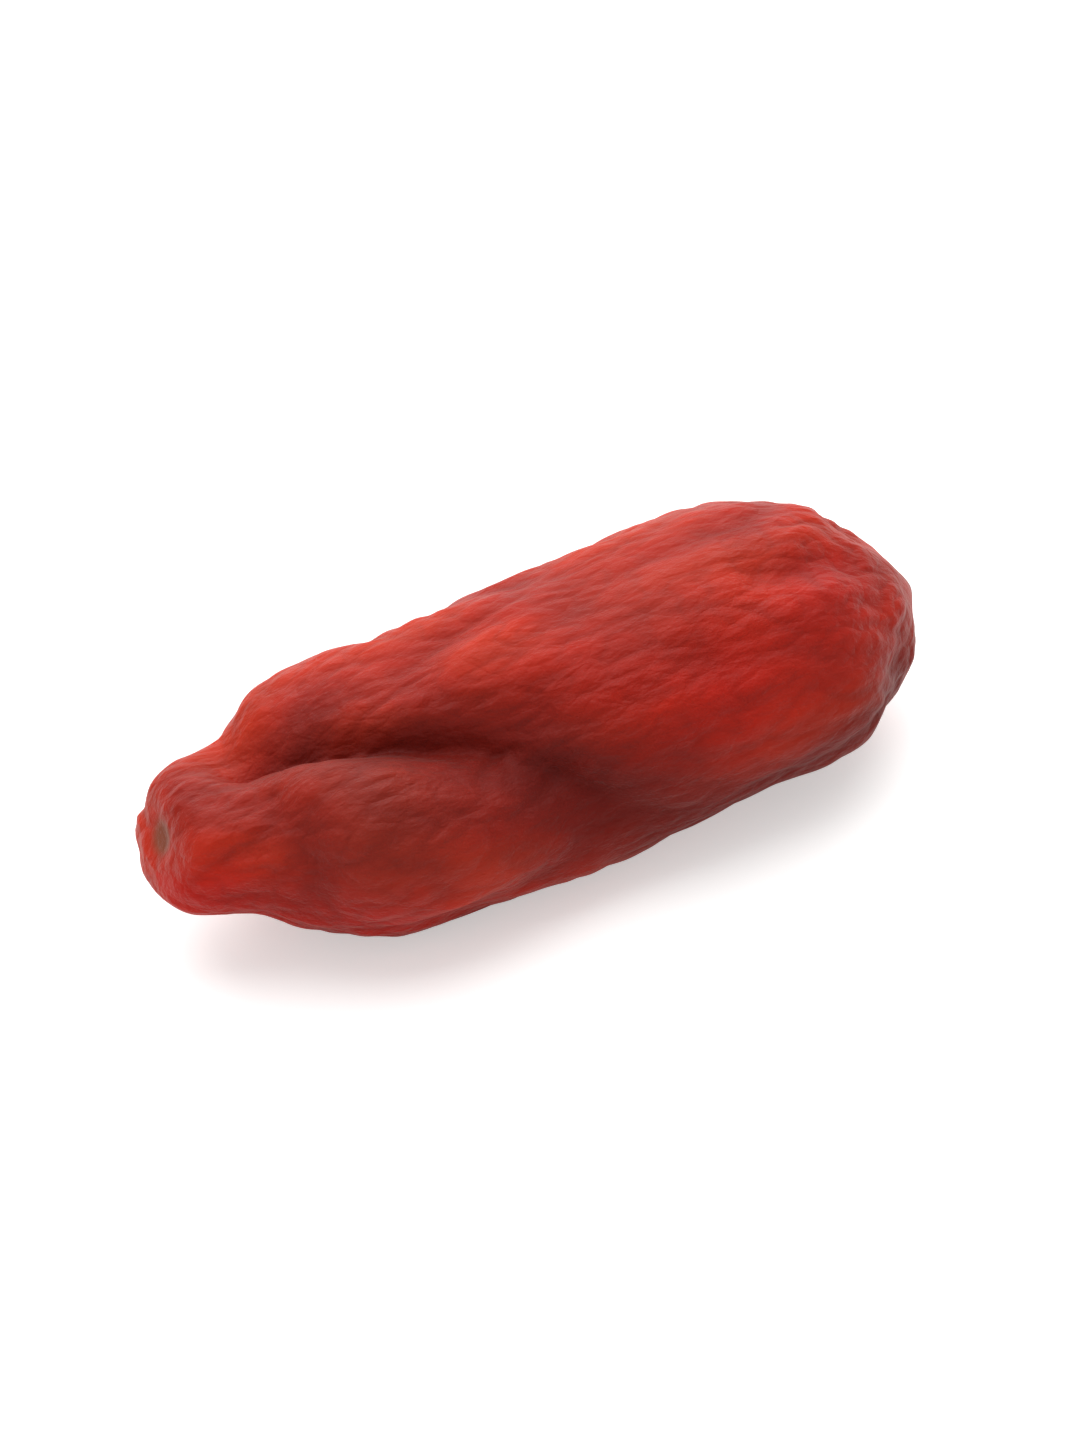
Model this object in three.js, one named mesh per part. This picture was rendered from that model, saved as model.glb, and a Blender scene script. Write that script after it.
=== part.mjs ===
// A dried goji berry: one solid fruit, lying on its side on a small flat spot.
// Millimetres, +Z up. The long axis runs along X, with the stalk scar at -X and the style tip at +X.
// The origin is under the middle of the berry's box, on the surface it rests on.
import * as THREE from "three";

// Driving dimensions
const LENGTH = 16.0; // stalk scar to style tip
const WIDTH = 6.9; // across, as it lies
const HEIGHT = 5.1; // the plump height, before the underside is flattened
const FLAT_CUT = 0.22; // how much of that height the flat spot takes away
const SQUARENESS = 2.25; // 2 is an ellipse, more is a fuller section
const BASE_EASE = 0.35; // height over which the skin curves into the flat spot
const SCAR_SLANT = 0.22; // how far the stalk end leans: mm along X for each mm of height
const SLANT_RANGE = [0.6, 0.9]; // where the lean sets in and is full, as shares of HALF towards the stalk
const SLICES = 84; // faces round the berry
const STACKS = 54; // faces from end to end

const HALF = LENGTH / 2;
const radians = THREE.MathUtils.degToRad;

// Outline of one side, from the stalk scar to the tip: x as a share of HALF, and the share of full
// thickness there.
const OUTLINE = new THREE.CatmullRomCurve3(
  [
    [-0.965, 0],
    [-0.972, 0.1],
    [-1.0, 0.24],
    [-0.99, 0.36],
    [-0.92, 0.46],
    [-0.8, 0.6],
    [-0.68, 0.79],
    [-0.54, 0.91],
    [-0.32, 0.96],
    [-0.02, 1.0],
    [0.3, 0.975],
    [0.58, 0.93],
    [0.73, 0.82],
    [0.85, 0.58],
    [0.92, 0.4],
    [0.955, 0.23],
    [0.972, 0.1],
    [0.985, 0.06],
    [1.0, 0],
  ].map(([x, share]) => new THREE.Vector3(x * HALF, share, 0)),
  false,
  "centripetal",
);

// The berry bends a little. Offsets of its centre line, [sideways, up], at even steps from the stalk
// scar to the tip.
const BEND = new THREE.CatmullRomCurve3(
  [
    [0.3, 0.5],
    [-0.05, 0.04],
    [-0.1, -0.04],
    [0.1, 0.06],
    [0.22, 0.1],
    [0.22, 0.14],
    [0.16, 0.0],
  ].map(([side, up]) => new THREE.Vector3(0, side, up)),
  false,
  "catmullrom",
);

// Folds of the shrunken skin. Each follows a curve of [x share, angle] from the stalk towards the tip. The
// angle goes round the berry in degrees: 0 on top, 90 at the front (-Y), 180 underneath, -90 at the back.
// Depth is in millimetres. The fold's two slopes reach upper millimetres on the side of smaller angles, and
// lower millimetres on the other.
const FOLDS = [
  // over the neck and down the front face: the berry's main fold, under an overhanging lobe
  {
    path: [
      [-0.7, -80],
      [-0.76, -46],
      [-0.67, -18],
      [-0.54, 7],
      [-0.34, 34],
      [-0.16, 63],
      [0.02, 90],
      [0.24, 108],
    ],
    depth: 0.8,
    upper: 0.56,
    lower: 1.05,
  },
  // the broad hollow that the main fold sinks into
  {
    path: [
      [-0.46, 22],
      [-0.12, 48],
      [0.26, 72],
    ],
    depth: 0.46,
    upper: 0.9,
    lower: 1.1,
    fade: 0.5,
  },
  // front, low: parts the lower lobe from the underside
  {
    path: [
      [-0.8, 96],
      [-0.45, 114],
      [-0.05, 126],
      [0.4, 130],
      [0.8, 118],
    ],
    depth: 0.22,
    upper: 0.6,
    lower: 0.5,
  },
  // front, right half
  {
    path: [
      [0.2, 44],
      [0.44, 54],
      [0.7, 62],
      [0.92, 58],
    ],
    depth: 0.18,
    upper: 0.5,
    lower: 0.7,
  },
  // dimple on top of the blunt end
  {
    path: [
      [0.46, 22],
      [0.66, 24],
      [0.86, 16],
    ],
    depth: 0.32,
    upper: 0.55,
    lower: 0.55,
  },
  // along the back of the top
  {
    path: [
      [-0.46, -56],
      [-0.1, -64],
      [0.28, -50],
      [0.6, -60],
      [0.86, -70],
    ],
    depth: 0.36,
    upper: 0.7,
    lower: 0.45,
  },
  // back, the deepest one on that side
  {
    path: [
      [-0.9, -92],
      [-0.55, -98],
      [-0.1, -88],
      [0.3, -96],
      [0.7, -110],
    ],
    depth: 0.55,
    upper: 0.75,
    lower: 0.4,
  },
  // back, low
  {
    path: [
      [-0.4, -132],
      [0.0, -138],
      [0.45, -130],
      [0.9, -146],
    ],
    depth: 0.36,
    upper: 0.45,
    lower: 0.7,
  },
  // underneath, towards the stalk
  {
    path: [
      [-0.9, 168],
      [-0.62, 160],
      [-0.3, 172],
    ],
    depth: 0.34,
    upper: 0.5,
    lower: 0.5,
  },
  // underneath, towards the tip
  {
    path: [
      [0.34, 176],
      [0.6, 168],
      [0.88, 178],
    ],
    depth: 0.32,
    upper: 0.5,
    lower: 0.5,
  },
  // short puckers at the neck
  {
    path: [
      [-0.96, 20],
      [-0.84, 28],
      [-0.72, 44],
    ],
    depth: 0.16,
    upper: 0.3,
    lower: 0.3,
  },
  {
    path: [
      [-0.96, 78],
      [-0.82, 70],
      [-0.64, 74],
    ],
    depth: 0.18,
    upper: 0.3,
    lower: 0.35,
  },
  // short puckers at the tip
  {
    path: [
      [0.74, 92],
      [0.88, 88],
      [0.97, 84],
    ],
    depth: 0.2,
    upper: 0.35,
    lower: 0.35,
  },
  {
    path: [
      [0.78, -14],
      [0.9, -22],
      [0.97, -30],
    ],
    depth: 0.16,
    upper: 0.35,
    lower: 0.35,
  },
];

// A fold's depth grows from nothing at both ends of its path to full depth this share of the path further
// in, unless the fold has a fade of its own.
const FADE = 0.24;
const PATH_STEPS = 40;
const NEEDLE_RADIUS = 0.4; // near the ends, angles are turned into distances as if the berry were this thick
const END_THICKNESS = 0.5; // share of full thickness from which folds are at full depth
const LEAST_RADIUS = 0.55; // folds never press in further than to this share of the radius

// Each fold's path as a row of short segments in (x, angle) space.
const TRACKS = FOLDS.map((fold) => {
  const curve = new THREE.CatmullRomCurve3(
    fold.path.map(([x, angle]) => new THREE.Vector3(x * HALF, radians(angle), 0)),
  );
  return { ...fold, points: curve.getPoints(PATH_STEPS) };
});

// Where a place on the skin lies beside a track: its distance, its side, which is -1 towards smaller angles,
// and how far along the track it is, from 0 to 1.
function nearestOnTrack(track, x, angle, radius) {
  let best = { distance: Infinity, side: 1, along: 0 };
  for (let i = 0; i < PATH_STEPS; i++) {
    const a = track.points[i];
    const b = track.points[i + 1];
    const turn = Math.round((angle - a.y) / (2 * Math.PI)) * 2 * Math.PI;
    const px = x - a.x;
    const py = (angle - turn - a.y) * radius;
    const dx = b.x - a.x;
    const dy = (b.y - a.y) * radius;
    const share = THREE.MathUtils.clamp((px * dx + py * dy) / (dx * dx + dy * dy), 0, 1);
    const distance = Math.hypot(px - share * dx, py - share * dy);
    if (distance < best.distance)
      best = { distance, side: Math.sign(py * dx - px * dy), along: (i + share) / PATH_STEPS };
  }
  return best;
}

// How deep the folds press the skin in at one place, in millimetres.
function foldDepth(x, angle, radius) {
  let depth = 0;
  for (const track of TRACKS) {
    const { distance, side, along } = nearestOnTrack(track, x, angle, Math.max(radius, NEEDLE_RADIUS));
    const reach = side < 0 ? track.upper : track.lower;
    const ends = THREE.MathUtils.smoothstep(Math.min(along, 1 - along), 0, track.fade ?? FADE);
    depth += (track.depth * ends) / (1 + (distance / reach) ** 2);
  }
  return depth;
}

// Height above the table: nothing reaches below 0, and the skin comes down to the flat spot in a curve.
function settled(z) {
  if (z <= 0) return 0;
  return z < BASE_EASE ? z * z * (2 / BASE_EASE - z / BASE_EASE ** 2) : z;
}

// One point of the skin: along is 0 at the stalk scar and 1 at the tip, angle goes round as in FOLDS.
function skinPoint(along, angle, target) {
  const { x, y: share } = OUTLINE.getPointAt(along);
  const bend = BEND.getPoint((x / HALF + 1) / 2);
  const across = Math.abs(Math.sin(angle) / (WIDTH / 2)) ** SQUARENESS;
  const upward = Math.abs(Math.cos(angle) / (HEIGHT / 2)) ** SQUARENESS;
  const plump = share * (across + upward) ** (-1 / SQUARENESS);
  const hollow = foldDepth(x, angle, plump) * THREE.MathUtils.smoothstep(share, 0, END_THICKNESS);
  const radius = Math.max(plump - hollow, plump * LEAST_RADIUS);
  const rise = radius * Math.cos(angle);
  const lean = SCAR_SLANT * rise * THREE.MathUtils.smoothstep(-x / HALF, ...SLANT_RANGE);
  const z = bend.z + rise + HEIGHT / 2 - FLAT_CUT;
  return target.set(x + lean, bend.y - radius * Math.sin(angle), settled(z));
}

// The skin is a sphere's faces, each corner moved to its place on the berry.
function berryGeometry() {
  const geometry = new THREE.SphereGeometry(1, SLICES, STACKS);
  const position = geometry.attributes.position;
  const uv = geometry.attributes.uv;
  const point = new THREE.Vector3();
  for (let i = 0; i < position.count; i++) {
    skinPoint(uv.getY(i), 2 * Math.PI * uv.getX(i), point);
    position.setXYZ(i, point.x, point.y, point.z);
  }
  geometry.deleteAttribute("uv");
  geometry.computeBoundingBox();
  const middle = geometry.boundingBox.getCenter(new THREE.Vector3());
  geometry.translate(-middle.x, -middle.y, -geometry.boundingBox.min.z);
  geometry.computeVertexNormals();
  return geometry;
}

const skin = new THREE.MeshStandardMaterial({ color: 0x9c2a22, roughness: 0.46, metalness: 0 });

const berry = new THREE.Mesh(berryGeometry(), skin);
berry.name = "berry";

const part = new THREE.Group();
part.add(berry);

export default part;
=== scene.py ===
"""The looks of a dried goji berry: its shrunken skin, the skin's finish, and a small studio around it."""

import math

import bmesh
import bpy
import numpy as np
from bpy.props import FloatProperty, FloatVectorProperty, IntProperty, PointerProperty
from bpy.types import Operator, Panel, PropertyGroup
from mathutils import Matrix, Vector, noise
from mathutils.bvhtree import BVHTree


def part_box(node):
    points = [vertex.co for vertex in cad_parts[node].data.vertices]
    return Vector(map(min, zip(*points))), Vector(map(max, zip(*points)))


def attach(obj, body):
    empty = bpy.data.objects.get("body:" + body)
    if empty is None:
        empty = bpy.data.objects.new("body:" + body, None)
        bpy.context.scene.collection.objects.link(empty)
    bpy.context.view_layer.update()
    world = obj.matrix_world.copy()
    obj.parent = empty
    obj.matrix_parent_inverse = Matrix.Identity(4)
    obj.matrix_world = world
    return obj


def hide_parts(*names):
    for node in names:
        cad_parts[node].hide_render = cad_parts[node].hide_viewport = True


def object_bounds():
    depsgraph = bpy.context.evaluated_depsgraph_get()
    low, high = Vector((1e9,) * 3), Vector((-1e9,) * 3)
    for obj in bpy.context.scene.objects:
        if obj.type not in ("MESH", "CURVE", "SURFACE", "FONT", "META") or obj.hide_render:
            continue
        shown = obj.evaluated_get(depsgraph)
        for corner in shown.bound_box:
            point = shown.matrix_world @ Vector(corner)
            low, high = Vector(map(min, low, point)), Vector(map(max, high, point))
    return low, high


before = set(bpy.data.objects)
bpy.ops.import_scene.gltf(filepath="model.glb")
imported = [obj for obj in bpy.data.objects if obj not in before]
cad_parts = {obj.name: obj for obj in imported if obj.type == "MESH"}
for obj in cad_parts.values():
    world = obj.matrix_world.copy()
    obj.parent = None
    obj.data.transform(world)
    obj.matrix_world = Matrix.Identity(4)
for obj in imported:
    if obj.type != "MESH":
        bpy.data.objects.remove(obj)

CAD_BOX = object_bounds()
LOW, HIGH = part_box("berry")
MM = 0.001

bl_info = {
    "name": "Dried goji berry",
    "version": (1, 0, 0),
    "blender": (4, 5, 0),
    "location": "3D View > Sidebar > Goji berry",
    "description": "Builds a dried goji berry's skin around its packed solid, and a studio to show it in",
    "category": "Add Mesh",
}


# ---------------------------------------------------------------- what a user would change


class SkinShape(PropertyGroup):
    """Sizes of the skin's folds and wrinkles."""

    columns: IntProperty(name="Columns", description="Faces round the berry", default=416, min=48)
    rings: IntProperty(name="Rings", description="Faces from the stalk scar to the tip", default=228, min=24)
    fold_bite: FloatProperty(
        name="Fold bite",
        description="How much further the packed solid's folds are pinched in",
        default=0.14 * MM,
        unit="LENGTH",
        precision=6,
    )
    crease_depth: FloatProperty(
        name="Crease depth",
        description="Depth of the sharp crease at the bottom of the main fold",
        default=0.26 * MM,
        unit="LENGTH",
        precision=6,
    )
    billow_depth: FloatProperty(
        name="Billow depth",
        description="Depth of the long, broad wrinkles",
        default=0.17 * MM,
        unit="LENGTH",
        precision=6,
    )
    wrinkle_depth: FloatProperty(
        name="Wrinkle depth",
        description="Depth of the narrow wrinkles between the broad ones",
        default=0.10 * MM,
        unit="LENGTH",
        precision=6,
    )
    crinkle_depth: FloatProperty(
        name="Crinkle depth",
        description="Depth of the finest creases that are real geometry",
        default=0.044 * MM,
        unit="LENGTH",
        precision=6,
    )
    settling: FloatProperty(
        name="Settling",
        description="How far the skin has sunk at the neck, and risen or sunk in other broad patches",
        default=0.22 * MM,
        unit="LENGTH",
        precision=6,
    )
    seed_height: FloatProperty(
        name="Seed height",
        description="How far the seeds inside lift the skin",
        default=0.05 * MM,
        unit="LENGTH",
        precision=6,
    )


class SkinFinish(PropertyGroup):
    """Colours and gloss of the skin."""

    red: FloatVectorProperty(
        name="Skin red",
        description="The skin's main colour",
        default=(0.52, 0.019, 0.006),
        subtype="COLOR",
    )
    # Lighter red: random blotches, and a painted highlight along the crests
    coral: FloatVectorProperty(
        name="Crest coral",
        description="Lighter red of random blotches, and a painted highlight along the crests",
        default=(0.66, 0.046, 0.012),
        subtype="COLOR",
    )
    # Dark red: painted shade in the folds, creases, wrinkle valleys and dark patches, and the random mottling
    # and the dark point at the tip
    maroon: FloatVectorProperty(
        name="Hollow maroon",
        description="Dark red of the random mottling and the tip's point, and painted shade in the folds, creases and wrinkle valleys",
        default=(0.125, 0.006, 0.0035),
        subtype="COLOR",
    )
    # Brighter red patches; on the lower lobe's lower edge this is painted bounce light
    bright: FloatVectorProperty(
        name="Brighter red",
        description="Colour of the brighter patches; on the lower lobe's lower edge it is painted bounce light",
        default=(0.60, 0.010, 0.004),
        subtype="COLOR",
    )
    brown: FloatVectorProperty(
        name="Dull brown",
        description="Colour of the dull, browned patch beside the main fold",
        default=(0.21, 0.018, 0.010),
        subtype="COLOR",
    )
    scar: FloatVectorProperty(
        name="Scar brown",
        description="Colour of the dry stalk scar",
        default=(0.20, 0.075, 0.035),
        subtype="COLOR",
    )


class Studio(PropertyGroup):
    """Where the camera stands, its lens, and the floor's colour and glow."""

    azimuth: FloatProperty(
        name="Azimuth",
        description="Direction that the camera sees the berry from; 0 looks along +Y",
        default=math.radians(-21.7),
        subtype="ANGLE",
    )
    elevation: FloatProperty(
        name="Elevation",
        description="How high the camera stands above the horizon",
        default=math.radians(39.85),
        subtype="ANGLE",
    )
    roll: FloatProperty(
        name="Roll",
        description="How far the camera is turned about its own axis",
        default=math.radians(6.0),
        subtype="ANGLE",
    )
    distance: FloatProperty(
        name="Distance",
        description="From the camera to the berry",
        default=190.7 * MM,
        unit="LENGTH",
    )
    lens: FloatProperty(
        name="Lens",
        description="Focal length, on a film whose long side is 36 mm",
        default=250.0,
        unit="CAMERA",
    )
    paper: FloatVectorProperty(
        name="Floor",
        description="Colour of the floor",
        default=(0.90, 0.90, 0.895),
        subtype="COLOR",
    )
    glow: FloatProperty(
        name="Floor glow",
        description="How much the floor's shadows are lifted",
        default=0.5,
        min=0.0,
        subtype="FACTOR",
    )


# ---------------------------------------------------------------- the berry's skin

SCAR_CAP = 1.5 * MM  # length of the stalk end over which the cage's rays fan out
TIP_CAP = 2.8 * MM  # and of the tip end
SECTIONS = 24  # places along the berry where its middle is measured
FACET_BLUR = 0.13 * MM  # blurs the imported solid's facets away
PLUMP_BLUR = 1.2 * MM  # blurs the section's width and height along the berry, to find its plump shape
PLUMP_SQUARENESS = 2.25  # 2 is an ellipse, more is a fuller section
LEAST_SECTION = 0.05 * MM  # half the width and height that a section has at least, at the poles
LEAST_ASIDE = 0.05  # how much of a ray's direction counts as away from the X axis at least, near the poles
WELD = 0.0001 * MM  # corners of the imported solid's loose triangles that are closer than this are one

BODY = (0.5 * MM, 1.6 * MM)  # radius from which folds and wrinkles set in, and are full
OFF_FLOOR = (0.02 * MM, 0.5 * MM)  # and height above the floor
SUNK = (0.12 * MM, 0.75 * MM)  # how far below its plump shape the skin begins to be a hollow, and is one
PUCKERED = (0.62, 0.9)  # share of half the length where the ends' puckers set in, and are full

# Wrinkles of three sizes, as (length along X, width, how much they wander, number of the pattern)
BILLOWS = (5.2 * MM, 1.75 * MM, 0.55, 1)
WRINKLES = (2.3 * MM, 0.78 * MM, 0.5, 2)
CRINKLES = (0.85 * MM, 0.38 * MM, 0.6, 3)
ROUNDING = 0.03  # how round the bottoms of their valleys are
STEEPNESS = 2.2  # of the slopes out of them
CREST = 1.2  # height of their crests, where a valley's bottom is near 0
SEED_SPACING = 2.3 * MM
SEED_PATTERN = 4.0
SEED_MOUND = (0.08, 0.62)  # share of the spacing where a seed's mound begins to fall, and has gone
LEVEL_SHARE = 36  # percentage of the skin that stands above its level between the wrinkles

# The main fold's crease, as (share of half the length from the middle, degrees from the top to the front)
MAIN_CREASE = (
    (-0.76, -62),
    (-0.76, -46),
    (-0.67, -18),
    (-0.54, 7),
    (-0.34, 34),
    (-0.16, 63),
    (0.02, 90),
    (0.22, 107),
)
CREASE_REACH = 0.24 * MM
CREASE_FADE = 0.3  # share of its length over which the crease deepens from either end
CREASE_STEPS = 60  # places along the crease from which distances are measured

# Patches of the skin, as (strength, (share of half the length, degrees, reach in shares, in degrees)).
# Where the skin has sunk, or, below 0, risen:
SETTLED = (
    (1.0, (-0.74, -35, 0.07, 55)),  # the neck's top
    (0.25, (-0.56, -35, 0.12, 35)),  # the slope from it to the upper lobe
    (0.3, (0.0, -48, 0.4, 28)),  # the back of the top
    (-0.7, (-0.14, 128, 0.25, 24)),  # the lower lobe's underside
    (-0.5, (0.86, 126, 0.07, 35)),  # the blunt end, low at the front
    (-0.3, (0.84, -30, 0.08, 40)),  # and its upper corner
    (0.6, (1.0, 0, 0.05, 900)),  # the tip, all round
    (-1.0, (-0.98, 116, 0.07, 40)),  # the stalk end's lower corner
    (0.3, (-1.0, 60, 0.05, 45)),  # the front of its face
    (0.8, (-1.0, -90, 0.06, 45)),  # and the back
)
# where it is less wrinkled, or, below 0, more:
CALM = ((0.6, (0.42, 30, 0.42, 55)), (-0.5, (0.0, -115, 1.4, 55)))
# and its colours. Painted shade, darkening the folds, the hollows, the lower edge and the underside:
SHADE_PATCHES = (
    (0.65, (-0.1, 64, 0.18, 26)),  # the broad hollow on the front
    (0.95, (-0.42, 24, 0.22, 17)),  # under the upper lobe
    (0.9, (-0.6, -8, 0.16, 24)),  # from there over the neck
    (0.5, (-0.88, -5, 0.2, 40)),  # the neck's top
    (0.8, (0.0, 86, 0.28, 26)),  # down the front
    (1.0, (0.36, 114, 0.4, 22)),  # the lower edge
    (1.0, (0.74, 114, 0.26, 34)),  # and its end
    (0.4, (0.66, 14, 0.14, 18)),  # the dimple on the blunt end
    (0.5, (0.94, 30, 0.1, 50)),  # the puckers at the tip
    (0.45, (-0.15, -98, 0.6, 20)),  # the back's folds
    (0.4, (0.3, -142, 0.45, 24)),
    (0.45, (0.0, 180, 0.9, 40)),  # the underside
)
# browned:
DULL = ((1.0, (-0.54, 62, 0.3, 34)),)
# lighter red patches, on the lower lobe's lower edge painted bounce light:
BRIGHTER = (
    (1.0, (-0.94, 92, 0.14, 40)),  # the stalk end
    (0.6, (0.74, 26, 0.14, 24)),  # the blunt end
    (0.7, (0.4, 58, 0.32, 26)),  # the front of its half
    (0.9, (-0.6, 104, 0.2, 24)),  # the lower lobe's lower edge
)

SCAR = Vector((LOW.x + 0.34 * MM, 0.16 * MM, 2.78 * MM))  # middle of the stalk scar
SCAR_REACH = (0.22 * MM, 0.5 * MM)  # radius of its brown, and where that has faded out
TIP_REACH = (0.1 * MM, 0.45 * MM)  # the same for the dark point at the tip
SCAR_LEAN = 0.22  # how much further back the stalk end's face leans: along X for each unit of height
SCAR_LEAN_RANGE = (0.8, 0.97)  # share of half the length, towards the stalk, where it sets in and is full


def section_middles():
    """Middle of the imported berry's section at even steps along X, as arrays of x, y and z."""
    points = np.array([v.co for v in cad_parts["berry"].data.vertices])
    xs = np.linspace(LOW.x + SCAR_CAP / 2, HIGH.x - TIP_CAP / 2, SECTIONS)
    window = (HIGH.x - LOW.x) / SECTIONS
    middles = []
    for x in xs:
        near = points[np.abs(points[:, 0] - x) < window]
        middles.append((near.min(axis=0) + near.max(axis=0)) / 2)
    middles = np.array(middles)
    for _ in range(2):
        middles[1:-1] = (middles[:-2] + 2 * middles[1:-1] + middles[2:]) / 4
    return xs, middles[:, 1], middles[:, 2]


class Cage:
    """Rays from the berry's middle line outwards, one for each vertex of a sphere laid along X."""

    def __init__(self, rings, columns):
        self.rings, self.columns = rings, columns
        xs, ys, zs = section_middles()
        straight = (HIGH.x - TIP_CAP) - (LOW.x + SCAR_CAP)
        scar_arc, tip_arc = SCAR_CAP * math.pi / 2, TIP_CAP * math.pi / 2
        run = np.linspace(0, scar_arc + straight + tip_arc, rings + 1)
        into_tip = run - scar_arc - straight
        x = np.clip(LOW.x + SCAR_CAP + run - scar_arc, LOW.x + SCAR_CAP, HIGH.x - TIP_CAP)
        tilt = np.minimum(run / SCAR_CAP, math.pi / 2) + np.maximum(into_tip / TIP_CAP, 0)
        turn = np.arange(columns) * 2 * math.pi / columns
        self.start = np.stack([x, np.interp(x, xs, ys), np.interp(x, xs, zs)], axis=1)
        self.turn = turn
        self.aim = np.empty((rings + 1, columns, 3))
        self.aim[:, :, 0] = -np.cos(tilt)[:, None]
        self.aim[:, :, 1] = -np.sin(tilt)[:, None] * np.sin(turn)
        self.aim[:, :, 2] = np.sin(tilt)[:, None] * np.cos(turn)

    def reach_to(self, tree):
        """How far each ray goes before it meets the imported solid."""
        reach = np.empty((self.rings + 1, self.columns))
        for i in range(self.rings + 1):
            start = Vector(self.start[i])
            for j in range(self.columns):
                hit = tree.ray_cast(start, Vector(self.aim[i, j]))
                if hit[3] is None:
                    raise RuntimeError("a ray from the berry's middle line misses its packed solid")
                reach[i, j] = hit[3]
        return reach

    def points(self, reach):
        """Where the rays end."""
        return self.start[:, None, :] + self.aim * reach[:, :, None]


def blurred(field, rounds_along, rounds_round):
    """The field with its neighbours mixed in, so many times along the berry and so many round it."""
    field = field.copy()
    for _ in range(rounds_round):
        field = (np.roll(field, 1, axis=1) + 2 * field + np.roll(field, -1, axis=1)) / 4
    for _ in range(rounds_along):
        field[1:-1] = (field[:-2] + 2 * field[1:-1] + field[2:]) / 4
        field[0] = field[1].mean()
        field[-1] = field[-2].mean()
    return field


def blur_rounds(cage, width):
    """How often blurred() mixes neighbours to spread a value over width, along and round the berry."""
    along = (HIGH.x - LOW.x) / cage.rings
    round_it = math.pi * (HIGH.y - LOW.y) / cage.columns
    return round(2 * (width / along) ** 2), round(2 * (width / round_it) ** 2)


def smooth_step(value, low, high):
    """0 below low, 1 above high, and an even rise between them."""
    t = np.clip((value - low) / (high - low), 0, 1)
    return t * t * (3 - 2 * t)


def plump_reach(cage, reach):
    """How far the rays would go if the berry had no folds: a full section of the same width and height."""
    ends = cage.aim * reach[:, :, None]
    rounds = blur_rounds(cage, PLUMP_BLUR)[0]
    sizes = []
    for axis in (1, 2):
        size = (ends[:, :, axis].max(axis=1) - ends[:, :, axis].min(axis=1)) / 2
        for _ in range(rounds):
            size[1:-1] = (size[:-2] + 2 * size[1:-1] + size[2:]) / 4
        sizes.append(np.maximum(size[:, None], LEAST_SECTION))
    n = PLUMP_SQUARENESS
    across, upward = np.abs(np.sin(cage.turn)), np.abs(np.cos(cage.turn))
    section = ((across / sizes[0]) ** n + (upward / sizes[1]) ** n) ** (-1 / n)
    return section / np.maximum(np.linalg.norm(cage.aim[:, :, 1:], axis=2), LEAST_ASIDE)


def along_berry(points):
    """The points' places along X, as shares of half the berry's length: -1 is the stalk end, 1 the tip."""
    return (points[:, :, 0] * 2 - (LOW.x + HIGH.x)) / (HIGH.x - LOW.x)


def patch(shares, turn, share, degrees, reach_x, reach_degrees):
    """A soft-edged spot on the skin, 1 in its middle: its place and its size along and round the berry."""
    dx = (shares - share) / reach_x
    turned = (np.degrees(turn)[None, :] - degrees + 180) % 360 - 180
    return np.exp(-(dx**2) - (turned / reach_degrees) ** 2)


def patches(shares, turn, table):
    """The sum of a table of patches, each with its strength."""
    return sum(strength * patch(shares, turn, *place) for strength, place in table)


def valleys(points, along, round_it, wander, pattern):
    """Long wrinkles: 0 in sharp valleys and about 1 on round crests. They run along X."""
    out = np.empty(points.shape[:2])
    offset = Vector((pattern * 7.31, pattern * 3.77, pattern * 5.19))
    scale = Vector((1 / along, 1 / round_it, 1 / round_it))
    aside = Vector((13.7, 5.3, 9.1))  # far enough for a noise that looks nothing like the first
    for i in range(points.shape[0]):
        for j in range(points.shape[1]):
            p = Vector(points[i, j]) * scale + offset
            q = p * 0.6
            p += Vector((noise.noise(q), noise.noise(q + aside), noise.noise(q - aside))) * wander
            out[i, j] = abs(noise.noise(p))
    return np.minimum(np.sqrt(out**2 + ROUNDING**2) * STEEPNESS, CREST)


def seed_bumps(points, spacing, pattern):
    """Soft mounds where seeds press against the skin, from 0 to 1."""
    out = np.empty(points.shape[:2])
    offset = Vector((pattern, pattern * 2.3, -pattern))
    for i in range(points.shape[0]):
        for j in range(points.shape[1]):
            near = noise.voronoi(Vector(points[i, j]) / spacing + offset)[0]
            out[i, j] = near[0]
    return 1 - smooth_step(out, *SEED_MOUND)


def crease_distance(cage, points):
    """Distance of each point from the main fold's crease, and how far along the crease it is, from 0 to 1."""
    middle, half = (LOW.x + HIGH.x) / 2, (HIGH.x - LOW.x) / 2
    shares = np.array([share for share, _ in MAIN_CREASE])
    angles = np.radians([angle for _, angle in MAIN_CREASE])
    steps = np.linspace(0, 1, CREASE_STEPS)
    knots = np.linspace(0, 1, len(MAIN_CREASE))
    line_x = middle + half * np.interp(steps, knots, shares)
    line_turn = np.interp(steps, knots, angles)
    kernel = np.array([1, 2, 3, 2, 1]) / 9
    line_x[2:-2] = np.convolve(line_x, kernel, "valid")
    line_turn[2:-2] = np.convolve(line_turn, kernel, "valid")
    radius = np.linalg.norm(points[:, :, 1:] - cage.start[:, None, 1:], axis=2)
    turn = (cage.turn[None, :] + math.pi) % (2 * math.pi) - math.pi
    best = np.full(radius.shape, np.inf)
    along = np.zeros(radius.shape)
    for step, x, angle in zip(steps, line_x, line_turn):
        away = np.hypot(points[:, :, 0] - x, (turn - angle) * radius)
        nearer = away < best
        best[nearer] = away[nearer]
        along[nearer] = step
    return best, along


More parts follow.
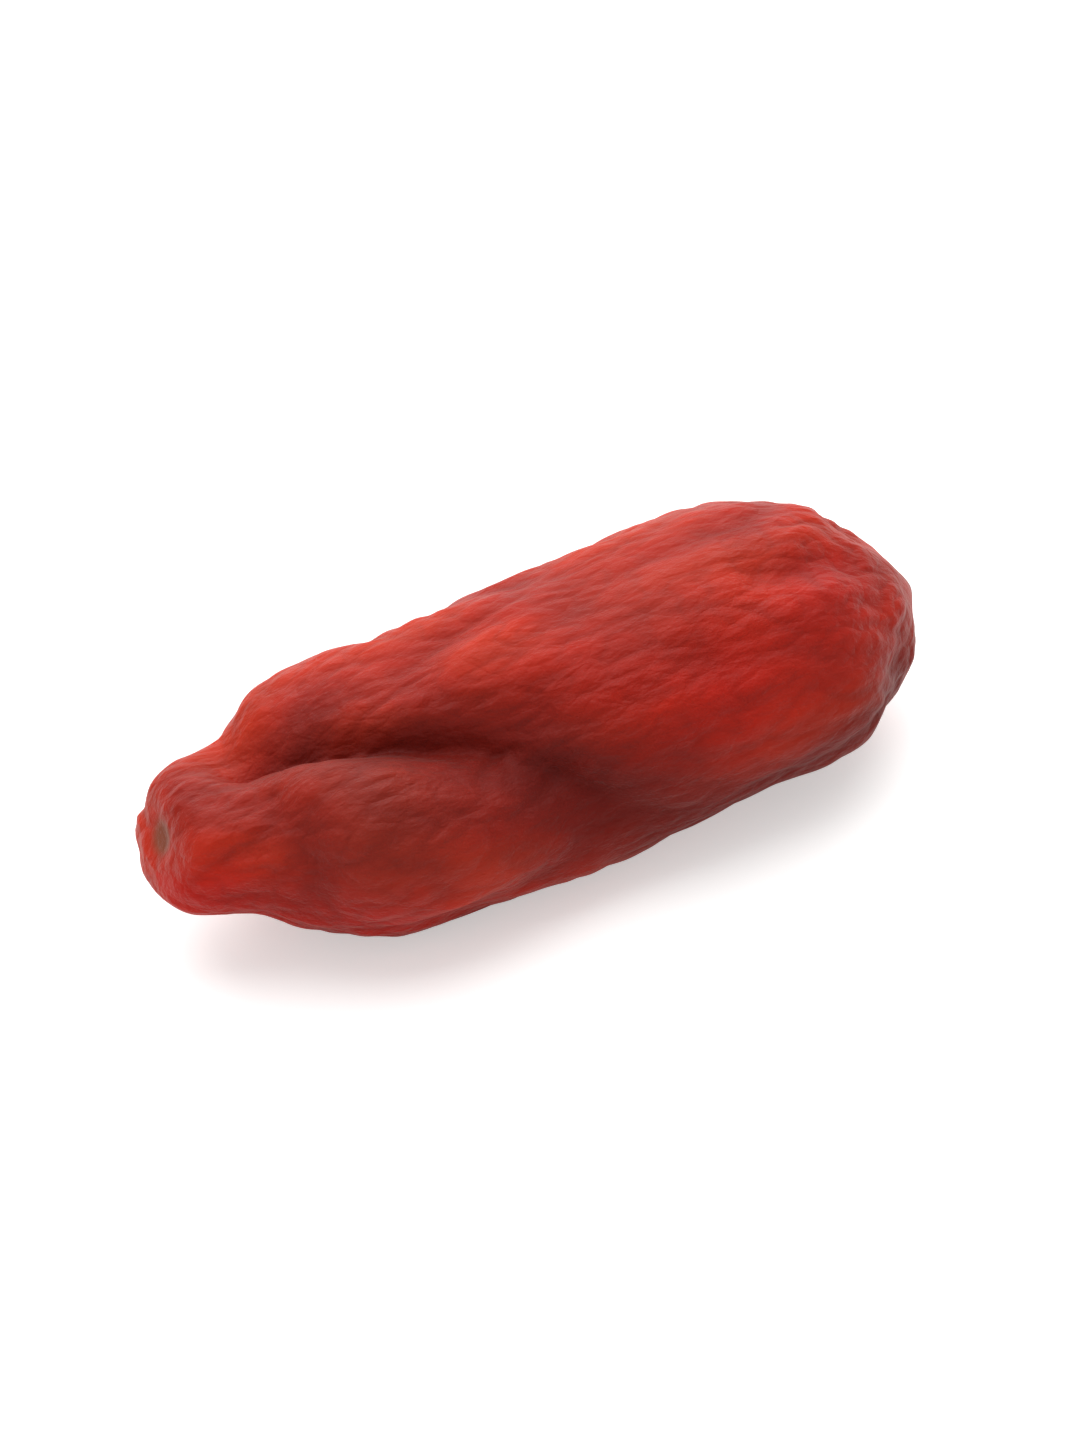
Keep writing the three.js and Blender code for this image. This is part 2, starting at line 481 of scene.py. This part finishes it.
def build_skin(shape):
    """The berry's skin as one closed mesh, with masks for its finish, among them painted shade in the folds
    and a painted highlight on the crests.
    """
    solid = bmesh.new()
    solid.from_mesh(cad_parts["berry"].data)
    bmesh.ops.remove_doubles(solid, verts=solid.verts, dist=WELD)
    tree = BVHTree.FromBMesh(solid)
    solid.free()

    cage = Cage(shape.rings, shape.columns)
    reach = blurred(cage.reach_to(tree), *blur_rounds(cage, FACET_BLUR))
    sunk = plump_reach(cage, reach) - reach
    points = cage.points(reach)

    thickness = np.linalg.norm(points[:, :, 1:] - cage.start[:, None, 1:], axis=2)
    body = smooth_step(thickness, *BODY)
    off_floor = smooth_step(points[:, :, 2] - LOW.z, *OFF_FLOOR)
    hollow = smooth_step(sunk, *SUNK) * body

    billow = valleys(points, *BILLOWS)
    wrinkle = valleys(points, *WRINKLES)
    crinkle = valleys(points, *CRINKLES)
    seeds = seed_bumps(points, SEED_SPACING, SEED_PATTERN)

    away, along = crease_distance(cage, points)
    crease = smooth_step(np.minimum(along, 1 - along), 0.0, CREASE_FADE) / (1 + (away / CREASE_REACH) ** 2)
    crease *= 0.7 + 0.4 * billow  # deepest where it cuts through the crests

    shares = along_berry(points)
    puckered = smooth_step(np.abs(shares), *PUCKERED)
    calm = 1 - patches(shares, cage.turn, CALM)
    wrinkles = shape.billow_depth * (1 - billow)
    wrinkles += shape.wrinkle_depth * (1 - wrinkle) * (0.55 + 0.5 * hollow + 0.5 * puckered)
    wrinkles *= calm
    wrinkles += shape.crinkle_depth * (1 - crinkle) * (0.4 + 0.6 * calm)
    wrinkles -= shape.seed_height * seeds
    wrinkles -= np.percentile(wrinkles, LEVEL_SHARE)
    depth = shape.fold_bite * hollow + shape.crease_depth * crease + wrinkles
    depth += shape.settling * patches(shares, cage.turn, SETTLED)
    depth = blurred(depth * body * off_floor, 1, 2)
    points = cage.points(reach - depth)
    leaning = smooth_step(-shares, *SCAR_LEAN_RANGE)
    points[:, :, 0] += SCAR_LEAN * leaning * (points[:, :, 2] - SCAR.z)
    points[:, :, 2] = np.maximum(points[:, :, 2], LOW.z)

    from_scar = np.linalg.norm(points - np.array(SCAR), axis=2)
    from_tip = np.linalg.norm(points - points[-1, 0], axis=2)
    masks = {
        # painted shade in the main fold's hollow and crease
        "hollow": np.clip(0.85 * hollow + 0.5 * crease, 0, 1),
        # painted shade in the broad wrinkles' valleys
        "valley": np.clip(1.1 - 1.6 * billow, 0, 1) * body,
        # painted highlight along the crests
        "crest": np.clip(1.4 * (billow - 0.45), 0, 1) * (1 - hollow) * body,
        # painted shade in the narrow and finest wrinkles' valleys
        "wrinkle": np.clip(1 - 1.5 * wrinkle, 0, 1) * body,
        "crinkle": np.clip(1 - 2.2 * crinkle, 0, 1) * body,
        # painted shade patches over the folds, the lower edge and the underside
        "painted_shade": np.clip(patches(shares, cage.turn, SHADE_PATCHES), 0, 1),
        "dull": np.clip(patches(shares, cage.turn, DULL), 0, 1),
        # lighter red patches, on the lower lobe's lower edge painted bounce light
        "bright": np.clip(patches(shares, cage.turn, BRIGHTER), 0, 1),
        "scar": 1 - smooth_step(from_scar, *SCAR_REACH),
        "tip": 1 - smooth_step(from_tip, *TIP_REACH),
    }
    return sphere_with(points, masks)


def sphere_with(points, masks):
    """A sphere with its poles on X whose vertices are moved to the points, and carry the masks."""
    rings, columns = points.shape[0] - 1, points.shape[1]
    skin = bmesh.new()
    bmesh.ops.create_uvsphere(skin, u_segments=columns, v_segments=rings, radius=1.0)
    bmesh.ops.rotate(skin, verts=skin.verts, matrix=Matrix.Rotation(math.radians(-90), 3, "Y"))
    layers = {name: skin.verts.layers.float.new(name) for name in masks}
    for vertex in skin.verts:
        aim = vertex.co.normalized()
        ring = round(math.acos(max(-1.0, min(1.0, -aim.x))) / math.pi * rings)
        column = round(math.atan2(-aim.y, aim.z) / (2 * math.pi) * columns) % columns
        vertex.co = points[ring, column]
        for name, layer in layers.items():
            vertex[layer] = masks[name][ring, column]
    for face in skin.faces:
        face.smooth = True
    bmesh.ops.recalc_face_normals(skin, faces=skin.faces)
    mesh = bpy.data.meshes.new("berry_skin")
    skin.to_mesh(mesh)
    skin.free()
    return mesh


# ---------------------------------------------------------------- the skin's finish


def add(tree, kind, place, **values):
    """A node of that kind at that place in the editor, with its own settings and its sockets' values."""
    node = tree.nodes.new(kind)
    node.location = place
    for name, value in values.items():
        if hasattr(node, name):
            setattr(node, name, value)
        else:
            node.inputs[name.replace("_", " ")].default_value = value
    return node


def mixed(tree, place, factor, below, above):
    """A mix of two colours by the factor socket. Each of the colours is a socket or plain."""
    node = tree.nodes.new("ShaderNodeMix")
    node.data_type = "RGBA"
    node.location = place
    for socket, value in ((node.inputs[0], factor), (node.inputs[6], below), (node.inputs[7], above)):
        if isinstance(value, bpy.types.NodeSocket):
            tree.links.new(value, socket)
        else:
            socket.default_value = (*value, 1.0)
    return node.outputs[2]


def scaled(tree, source, place, factor):
    """The source socket's value times the factor."""
    node = add(tree, "ShaderNodeMath", place, operation="MULTIPLY")
    node.inputs[1].default_value = factor
    tree.links.new(source, node.inputs[0])
    return node.outputs[0]


def noise_pattern(tree, source, place, scale, detail, roughness):
    """The grey values of a noise pattern on the source's coordinates."""
    node = add(tree, "ShaderNodeTexNoise", place, Scale=scale, Detail=detail, Roughness=roughness)
    tree.links.new(source, node.inputs["Vector"])
    return node.outputs["Fac"]


def stepped(tree, source, place, low, high):
    """0 where the source is below low, 1 where it is above high, and an even rise between them."""
    node = add(tree, "ShaderNodeMapRange", place, interpolation_type="SMOOTHSTEP", clamp=True)
    node.inputs["From Min"].default_value = low
    node.inputs["From Max"].default_value = high
    tree.links.new(source, node.inputs["Value"])
    return node.outputs["Result"]


# What changes the skin's red, in this order: a pattern or one of the skin's masks, how strongly it does so,
# and the colour that it brings
TINTS = (
    ("blotch", 0.3, "coral"),
    # painted highlight along the crests
    ("crest", 0.55, "coral"),
    # lighter red patches, on the lower lobe's lower edge painted bounce light
    ("bright", 0.9, "bright"),
    ("dull", 0.8, "brown"),
    ("mottle", 0.18, "maroon"),
    # painted shade in the wrinkles' valleys
    ("crinkle", 0.2, "maroon"),
    ("wrinkle", 0.24, "maroon"),
    ("valley", 0.3, "maroon"),
    # painted shade patches
    ("painted_shade", 0.8, "maroon"),
    # painted shade in the main fold's hollow and crease
    ("hollow", 0.45, "maroon"),
    ("scar", 0.75, "scar"),
    ("tip", 0.6, "maroon"),
)
SMOOTHEST, ROUGHEST = 0.34, 0.58
GRAIN_HEIGHT = 0.09 * MM  # of the finest wrinkles, which are bump and not geometry


def skin_material(finish):
    """Dried berry skin: red, with maroon painted shade over the folds and a coral painted highlight on the
    crests, leathery, with a soft waxy gloss.
    """
    material = bpy.data.materials.new("berry_skin")
    material.use_nodes = True
    tree = material.node_tree
    links = tree.links
    shader = tree.nodes["Principled BSDF"]
    shader.location = (1500, 0)
    tree.nodes["Material Output"].location = (1800, 0)

    where = add(tree, "ShaderNodeTexCoord", (-1500, 0)).outputs["Object"]
    stretch = add(tree, "ShaderNodeMapping", (-1300, 0))
    stretch.inputs["Scale"].default_value = (0.5, 1.0, 1.0)
    links.new(where, stretch.inputs["Vector"])
    lengthwise = stretch.outputs["Vector"]

    mottle = noise_pattern(tree, lengthwise, (-1050, 250), 620.0, 4.0, 0.6)
    blotch = noise_pattern(tree, where, (-1050, 0), 230.0, 2.0, 0.5)
    patterns = {
        "blotch": stepped(tree, blotch, (-800, 0), 0.38, 0.68),
        "mottle": stepped(tree, mottle, (-800, 250), 0.35, 0.75),
    }
    colour = finish.red
    for i, (name, strength, tint) in enumerate(TINTS):
        source = patterns.get(name)
        if source is None:
            mask = add(tree, "ShaderNodeAttribute", (-800, -200 - 150 * i), attribute_name=name)
            source = mask.outputs["Fac"]
        factor = scaled(tree, source, (-550, 100 - 150 * i), strength)
        colour = mixed(tree, (-350 + 150 * i, 400), factor, colour, getattr(finish, tint))
    links.new(colour, shader.inputs["Base Color"])

    rough = add(tree, "ShaderNodeMapRange", (1200, -100))
    rough.inputs["To Min"].default_value = SMOOTHEST
    rough.inputs["To Max"].default_value = ROUGHEST
    links.new(mottle, rough.inputs["Value"])
    links.new(rough.outputs["Result"], shader.inputs["Roughness"])

    grain = noise_pattern(tree, lengthwise, (650, -300), 4200.0, 4.0, 0.6)
    cells = add(tree, "ShaderNodeTexVoronoi", (650, -550), feature="DISTANCE_TO_EDGE", Scale=2600.0)
    links.new(lengthwise, cells.inputs["Vector"])
    joined = add(tree, "ShaderNodeMath", (900, -400), operation="ADD")
    links.new(cells.outputs["Distance"], joined.inputs[0])
    links.new(grain, joined.inputs[1])
    bump = add(tree, "ShaderNodeBump", (1200, -400), Strength=0.8, Distance=GRAIN_HEIGHT)
    links.new(joined.outputs[0], bump.inputs["Height"])
    links.new(bump.outputs["Normal"], shader.inputs["Normal"])

    shader.inputs["Subsurface Weight"].default_value = 0.25
    shader.inputs["Subsurface Radius"].default_value = (1.0, 0.22, 0.12)
    shader.inputs["Subsurface Scale"].default_value = 0.6 * MM
    shader.inputs["IOR"].default_value = 1.46
    shader.inputs["Specular IOR Level"].default_value = 0.15
    shader.inputs["Sheen Weight"].default_value = 0.15
    shader.inputs["Sheen Roughness"].default_value = 0.45
    shader.inputs["Sheen Tint"].default_value = (1.0, 0.8, 0.75, 1.0)
    return material


# ---------------------------------------------------------------- the studio


FLOOR_SIZE = 0.5  # half its side
ROOM_LIGHT = 0.45  # strength of the white light from all round
BACKDROP = (0.93, 0.93, 0.925, 1.0)  # what the camera sees beyond the floor's edge

# Softboxes, as (name, degrees round from -Y, degrees above the horizon, distance, side, watts)
LIGHTS = (
    ("key", 165, 72, 0.45, 0.6, 2.1),
    ("rim", 160, 26, 0.45, 0.35, 0.55),
    ("fill", -60, 40, 0.5, 0.3, 0.12),
)


def from_berry(azimuth, elevation):
    """The direction from the berry to what stands there. An azimuth of 0 is towards -Y."""
    flat = math.cos(elevation)
    return Vector((math.sin(azimuth) * flat, -math.cos(azimuth) * flat, math.sin(elevation)))


def paper(name, colour, glow):
    """A plain matte finish for the floor; glow lifts its shadows without lighting the berry."""
    material = bpy.data.materials.new(name)
    material.use_nodes = True
    tree = material.node_tree
    shader = tree.nodes["Principled BSDF"]
    shader.inputs["Base Color"].default_value = (*colour, 1.0)
    shader.inputs["Roughness"].default_value = 0.9
    shader.inputs["Specular IOR Level"].default_value = 0.1
    shader.inputs["Emission Color"].default_value = (*colour, 1.0)
    seen = add(tree, "ShaderNodeLightPath", (-500, 0)).outputs["Is Camera Ray"]
    tree.links.new(scaled(tree, seen, (-300, 0), glow), shader.inputs["Emission Strength"])
    return material


def make_floor(studio):
    """The sheet that the berry lies on."""
    sheet = bmesh.new()
    bmesh.ops.create_grid(sheet, x_segments=1, y_segments=1, size=FLOOR_SIZE)
    bmesh.ops.translate(sheet, verts=sheet.verts, vec=(0, 0, LOW.z))
    mesh = bpy.data.meshes.new("floor")
    sheet.to_mesh(mesh)
    sheet.free()
    mesh.materials.append(paper("pale_floor", studio.paper, studio.glow))
    return bpy.data.objects.new("floor", mesh)


def pale_room():
    """A world that lights the berry evenly, and that the camera sees as a pale backdrop."""
    world = bpy.data.worlds.new("pale_room")
    world.use_nodes = True
    tree = world.node_tree
    light = tree.nodes["Background"]
    light.inputs["Color"].default_value = (1.0, 1.0, 1.0, 1.0)
    light.inputs["Strength"].default_value = ROOM_LIGHT
    backdrop = add(tree, "ShaderNodeBackground", (-200, -200), Color=BACKDROP)
    seen = add(tree, "ShaderNodeLightPath", (-200, 400)).outputs["Is Camera Ray"]
    both = add(tree, "ShaderNodeMixShader", (100, 100))
    tree.links.new(seen, both.inputs[0])
    tree.links.new(light.outputs[0], both.inputs[1])
    tree.links.new(backdrop.outputs[0], both.inputs[2])
    tree.links.new(both.outputs[0], tree.nodes["World Output"].inputs["Surface"])
    return world


def place_camera(studio):
    """A camera that looks straight at the berry from the given direction."""
    azimuth, roll = studio.azimuth, studio.roll
    back = from_berry(azimuth, studio.elevation)
    level = Vector((math.cos(azimuth), math.sin(azimuth), 0))
    upright = back.cross(level)
    right = level * math.cos(roll) - upright * math.sin(roll)
    up = level * math.sin(roll) + upright * math.cos(roll)
    target = (Vector(CAD_BOX[0]) + Vector(CAD_BOX[1])) / 2
    camera = bpy.data.objects.new("camera", bpy.data.cameras.new("camera"))
    bpy.context.scene.collection.objects.link(camera)
    camera.data.sensor_width = 36.0
    camera.data.lens = studio.lens
    camera.data.clip_start = 0.01
    camera.data.clip_end = 10.0
    place = Matrix((right, up, back)).transposed().to_4x4()
    place.translation = target + back * studio.distance
    camera.matrix_world = place
    bpy.context.scene.camera = camera


def soft_light(name, azimuth, elevation, distance, side, watts):
    """A square softbox that faces the berry and that the camera doesn't see."""
    back = from_berry(math.radians(azimuth), math.radians(elevation))
    light = bpy.data.objects.new(name, bpy.data.lights.new(name, "AREA"))
    bpy.context.scene.collection.objects.link(light)
    light.data.shape = "SQUARE"
    light.data.size = side
    light.data.energy = watts
    turned = back.to_track_quat("Z", "Y").to_matrix().to_4x4()
    light.matrix_world = Matrix.Translation(back * distance) @ turned
    light.visible_camera = False


# ---------------------------------------------------------------- operators


class GOJI_OT_skin(Operator):
    """Build the berry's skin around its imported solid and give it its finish"""

    bl_idname = "goji.skin"
    bl_label = "Build the skin"

    def execute(self, context):
        scene = context.scene
        skin = bpy.data.objects.new("berry_skin", build_skin(scene.goji_shape))
        scene.collection.objects.link(skin)
        skin.data.materials.append(skin_material(scene.goji_finish))
        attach(skin, "root")
        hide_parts("berry")
        return {"FINISHED"}


class GOJI_OT_studio(Operator):
    """Set up the floor, the lights and the camera"""

    bl_idname = "goji.studio"
    bl_label = "Set up the studio"

    def execute(self, context):
        scene = context.scene
        floor = make_floor(scene.goji_studio)
        scene.collection.objects.link(floor)
        scene.world = pale_room()
        for light in LIGHTS:
            soft_light(*light)
        place_camera(scene.goji_studio)
        scene.view_settings.view_transform = "Standard"
        return {"FINISHED"}


class GOJI_PT_panel(Panel):
    """Lists the berry's settings and the buttons that build it"""

    bl_idname = "GOJI_PT_panel"
    bl_label = "Goji berry"
    bl_space_type = "VIEW_3D"
    bl_region_type = "UI"
    bl_category = "Goji berry"

    def draw(self, context):
        for group, operator in (
            (context.scene.goji_shape, None),
            (context.scene.goji_finish, "goji.skin"),
            (context.scene.goji_studio, "goji.studio"),
        ):
            box = self.layout.box()
            for name in group.__annotations__:
                box.prop(group, name)
            if operator:
                box.operator(operator)


CLASSES = (SkinShape, SkinFinish, Studio, GOJI_OT_skin, GOJI_OT_studio, GOJI_PT_panel)
GROUPS = {"goji_shape": SkinShape, "goji_finish": SkinFinish, "goji_studio": Studio}


def register():
    for each in CLASSES:
        bpy.utils.register_class(each)
    for name, group in GROUPS.items():
        setattr(bpy.types.Scene, name, PointerProperty(type=group))


def unregister():
    for name in GROUPS:
        delattr(bpy.types.Scene, name)
    for each in reversed(CLASSES):
        bpy.utils.unregister_class(each)


def main():
    register()
    bpy.ops.goji.skin()
    bpy.ops.goji.studio()


if __name__ == "__main__":
    main()
